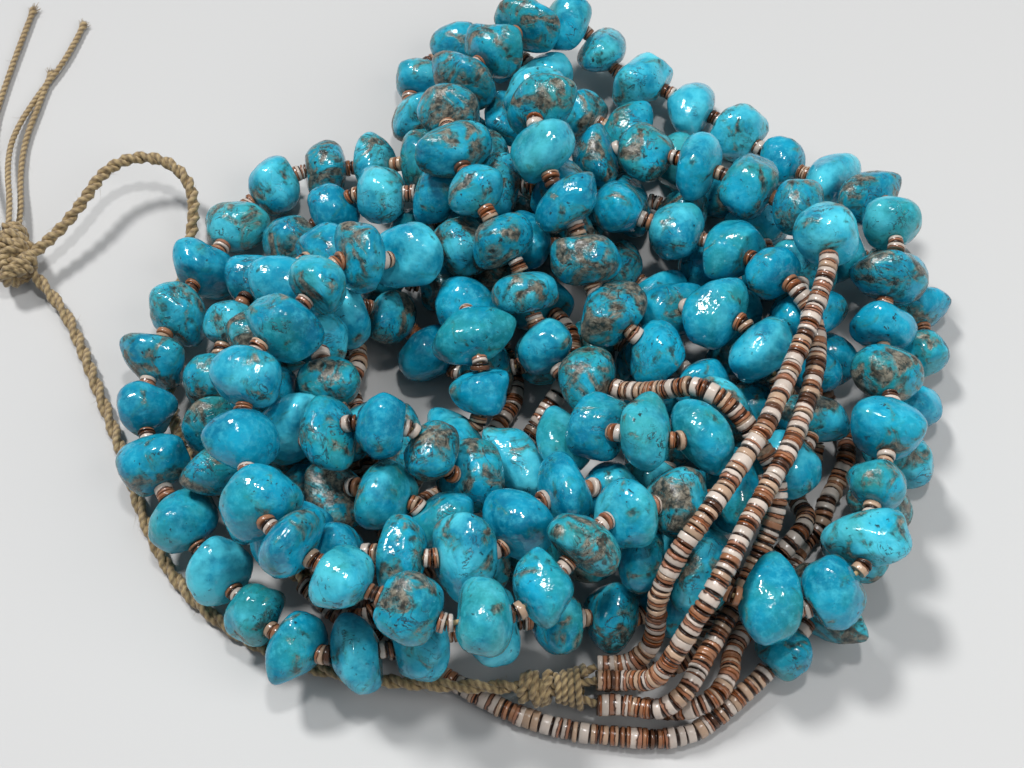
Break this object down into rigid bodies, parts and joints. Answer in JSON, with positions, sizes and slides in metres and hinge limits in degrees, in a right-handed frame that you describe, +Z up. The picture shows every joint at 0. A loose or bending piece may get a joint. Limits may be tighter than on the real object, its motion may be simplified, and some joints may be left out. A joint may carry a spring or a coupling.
{
  "type": "multi-strand bead necklace",
  "caption": "Multi-strand necklace of polished turquoise nuggets and heishi shell discs on twisted twine, laid down in a loose heap.",
  "frame": {"origin": "on the surface, under the middle of the heap of beads, twine cords and knot left out", "axes": "+Z up, +X to the right and +Y away from the viewer in the reference view, so that the knot lies on the -X side"},
  "size_m": [0.1924, 0.1597, 0.0363],
  "materials": {
    "turquoise": "polished, with tan and dark matrix",
    "heishi_shell": "satin, mixed white, tan and dark brown discs",
    "thread": "matte thread",
    "twine": "matte twisted plant fibre"
  },
  "bodies": {
    "root": {"cord_1": "twine", "cord_2": "twine", "free_end_1": "twine", "free_end_2": "twine", "free_end_3": "twine", "free_end_4": "twine", "knot": "twine", "strand_1_first_tail": "heishi_shell", "strand_1_last_tail": "heishi_shell", "strand_1_nuggets": "turquoise", "strand_1_thread": "thread", "strand_2_first_tail": "heishi_shell", "strand_2_last_tail": "heishi_shell", "strand_2_nuggets": "turquoise", "strand_2_thread": "thread", "strand_3_first_tail": "heishi_shell", "strand_3_last_tail": "heishi_shell", "strand_3_nuggets": "turquoise", "strand_3_thread": "thread", "strand_4_first_tail": "heishi_shell", "strand_4_last_tail": "heishi_shell", "strand_4_nuggets": "turquoise", "strand_4_thread": "thread", "strand_5_first_tail": "heishi_shell", "strand_5_last_tail": "heishi_shell", "strand_5_nuggets": "turquoise", "strand_5_thread": "thread", "wrap_1": "twine", "wrap_2": "twine"}
  },
  "joints": []
}
